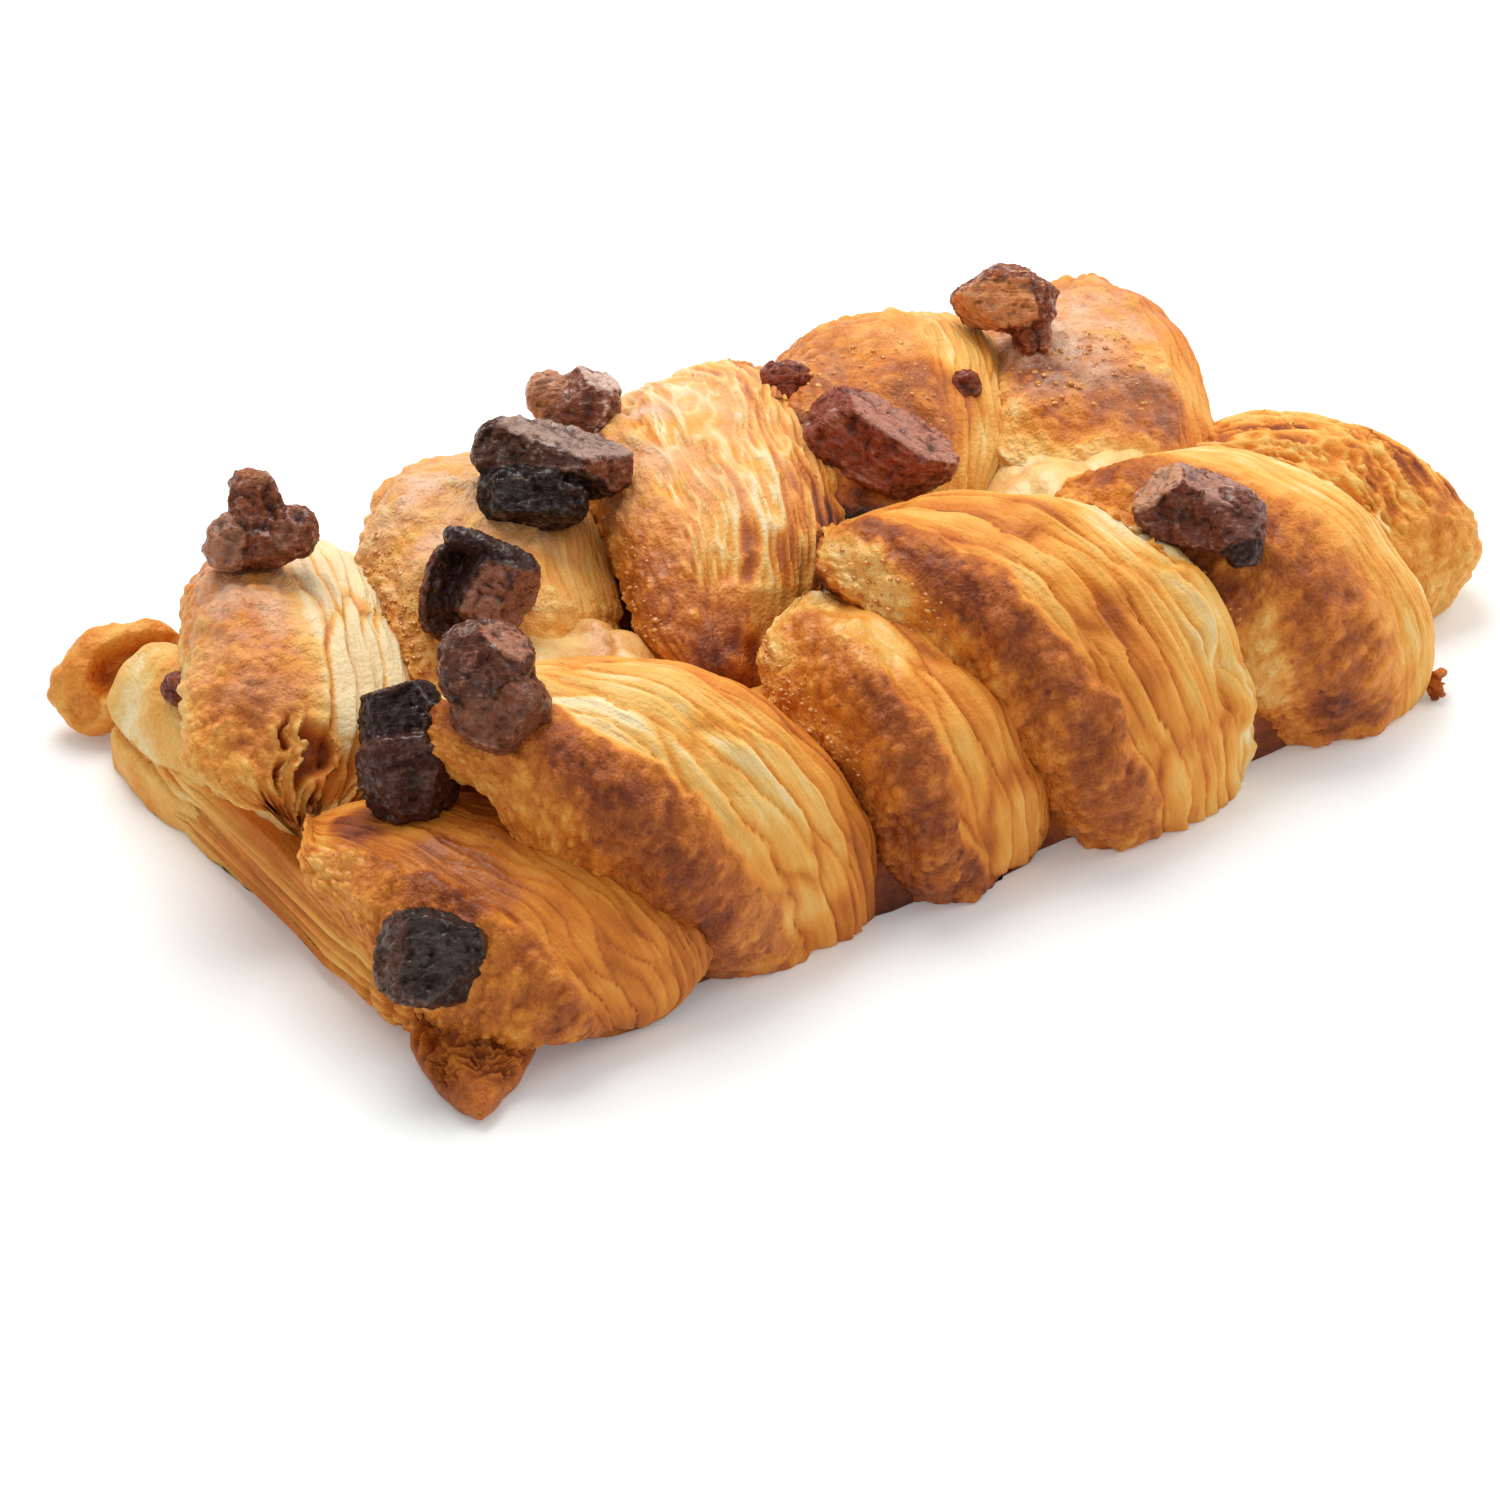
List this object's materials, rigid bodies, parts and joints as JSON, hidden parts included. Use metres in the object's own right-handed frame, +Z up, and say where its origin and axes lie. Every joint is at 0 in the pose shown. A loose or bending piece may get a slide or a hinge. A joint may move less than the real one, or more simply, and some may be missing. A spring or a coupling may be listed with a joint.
{
  "type": "danish pastry",
  "caption": "Plaited danish pastry: flaky golden strips folded from both sides over a filled seam, with broken roasted pecan pieces set in the top.",
  "frame": {"origin": "middle of the flat baked underside, under the middle of the outer box", "axes": "+X along the length towards the tail end, +Y to the far long side, +Z up"},
  "size_m": [0.1526, 0.0894, 0.0391],
  "materials": {
    "dough": "baked laminated dough, golden brown egg-washed crust with paler open layers, thin sugar glaze",
    "filling": "soft syrup filling, smooth and lumpy",
    "pecan": "roasted pecan kernel, dark red-brown to burnt"
  },
  "bodies": {
    "root": {"plait": "dough", "filling": "filling", "pecan_01": "pecan", "pecan_02": "pecan", "pecan_03": "pecan", "pecan_04": "pecan", "pecan_05": "pecan", "pecan_06": "pecan", "pecan_07": "pecan", "pecan_08": "pecan", "pecan_09": "pecan", "pecan_10": "pecan"}
  },
  "joints": []
}
